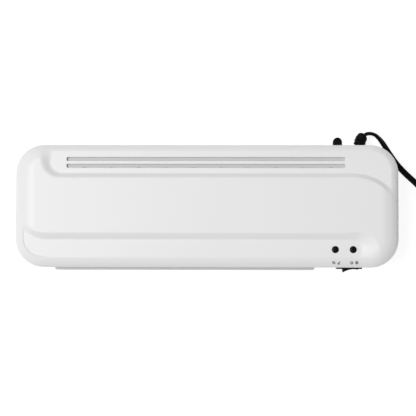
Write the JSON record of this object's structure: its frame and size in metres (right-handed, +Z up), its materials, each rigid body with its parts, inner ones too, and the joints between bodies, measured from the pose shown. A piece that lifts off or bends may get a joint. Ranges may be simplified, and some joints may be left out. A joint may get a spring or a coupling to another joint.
{
  "type": "pouch laminator",
  "caption": "Desktop pouch laminator: long low white casing with vent slots, a grey entry tray, heated rubber rollers inside, a rocker switch, a release lever and a flat mains cord.",
  "frame": {"origin": "centre of the object's footprint, on the table, under its feet", "axes": "+X along the rollers to the right seen from the front, the entry faces -Y, +Z up"},
  "size_m": [0.4695, 0.1424, 0.062],
  "materials": {
    "white_shell": "satin moulded plastic",
    "grey_tray": "satin moulded plastic",
    "black_plastic": "satin",
    "lamp": "dark smoked lens",
    "led": "clear",
    "baffle": "matt",
    "rubber_foot": "matt",
    "zinc_steel": "zinc plated",
    "bright_steel": "ground",
    "spring_steel": "oiled",
    "silicone": "smooth silicone",
    "gear_plastic": "acetal",
    "bronze": "sintered",
    "bearing_plastic": "high temperature plastic",
    "extruded_aluminium": "extruded",
    "sheet_aluminium": "rolled",
    "mica": "layered mica",
    "bakelite": "moulded",
    "ceramic": "matt",
    "circuit_board": "solder mask",
    "components": "mixed",
    "wire_cover": "soft",
    "terminal_plastic": "nylon",
    "terminal_metal": "tinned",
    "cord_cover": "satin",
    "tie": "soft strip",
    "plug_brass": "polished"
  },
  "bodies": {
    "casing": {"upper_casing": "white_shell", "lower_casing": "white_shell", "entry_tray": "grey_tray", "exit_tray": "grey_tray", "vent_baffle": "baffle", "rubber_feet": "rubber_foot", "casing_screws": "zinc_steel", "switch_housing": "black_plastic", "switch_terminals": "terminal_metal", "lamp_lenses": "lamp", "indicator_leds": "led", "indicator_board": "circuit_board", "board_components": "components", "board_screws": "zinc_steel", "left_side_frame": "zinc_steel", "right_side_frame": "zinc_steel", "frame_tie_rods": "zinc_steel", "tie_rod_nuts": "zinc_steel", "frame_screws": "zinc_steel", "shoe_screws": "zinc_steel", "lower_bushes": "bronze", "pressure_springs": "spring_steel", "motor_bracket": "zinc_steel", "motor_standoffs": "zinc_steel", "gear_motor": "zinc_steel", "motor_screws": "zinc_steel", "upper_heating_shoe": "extruded_aluminium", "lower_heating_shoe": "extruded_aluminium", "heater_strips": "mica", "heater_clamps": "zinc_steel", "thermostats": "bakelite", "thermal_fuse": "ceramic", "front_lower_guide": "sheet_aluminium", "front_upper_guide": "sheet_aluminium", "rear_lower_guide": "sheet_aluminium", "rear_upper_guide": "sheet_aluminium", "terminal_block": "terminal_plastic", "inner_wiring": "wire_cover", "cord_strain_relief": "cord_cover", "power_cord": "cord_cover", "cord_coil": "cord_cover", "cord_tie": "tie", "plug_body": "cord_cover", "plug_blades": "plug_brass"},
    "power_rocker": {"power_rocker": "black_plastic"},
    "release": {"release_lever": "black_plastic", "release_rod": "zinc_steel"},
    "upper_carriage": {"upper_bearing_blocks": "bearing_plastic"},
    "upper_roller": {"upper_roller_core": "bright_steel", "upper_roller_sleeve": "silicone", "upper_roller_gear": "gear_plastic", "upper_roller_clips": "spring_steel"},
    "lower_roller": {"lower_roller_core": "bright_steel", "lower_roller_sleeve": "silicone", "lower_roller_gear": "gear_plastic", "lower_roller_clips": "spring_steel"},
    "motor_drive": {"motor_shaft": "bright_steel", "motor_pinion": "gear_plastic"}
  },
  "joints": [
    {"name": "power_rocker_tilt", "type": "hinge", "parent": "casing", "child": "power_rocker", "pos_m": [0.1323, -0.05325, 0.0175], "axis": [0, 0, -1], "range_deg": [0, 21]},
    {"name": "release_lever_swing", "type": "hinge", "parent": "casing", "child": "release", "pos_m": [0.12, 0.01545, 0.046], "axis": [-1, 0, 0], "range_deg": [0, 14]},
    {"name": "upper_roller_lift", "type": "slide", "parent": "casing", "child": "upper_carriage", "axis": [0, 0, 1], "range_m": [0, 0.002], "stiffness_N_per_m": 3000, "springref_m": -0.004, "deforming": ["pressure_springs"]},
    {"name": "upper_roller_spin", "type": "hinge", "parent": "upper_carriage", "child": "upper_roller", "pos_m": [0, -0.00155, 0.03965], "axis": [1, 0, 0], "continuous": true},
    {"name": "lower_roller_spin", "type": "hinge", "parent": "casing", "child": "lower_roller", "pos_m": [0, -0.00155, 0.02135], "axis": [1, 0, 0], "continuous": true},
    {"name": "motor_shaft_spin", "type": "hinge", "parent": "casing", "child": "motor_drive", "pos_m": [0, -0.01345, 0.033], "axis": [1, 0, 0], "continuous": true}
  ],
  "couplings": [
    {"joint": "release_lever_swing", "follows": "upper_roller_lift", "rad_per_m": 122.1},
    {"joint": "upper_roller_spin", "follows": "lower_roller_spin", "ratio": -1},
    {"joint": "motor_shaft_spin", "follows": "lower_roller_spin", "ratio": -1.2}
  ]
}
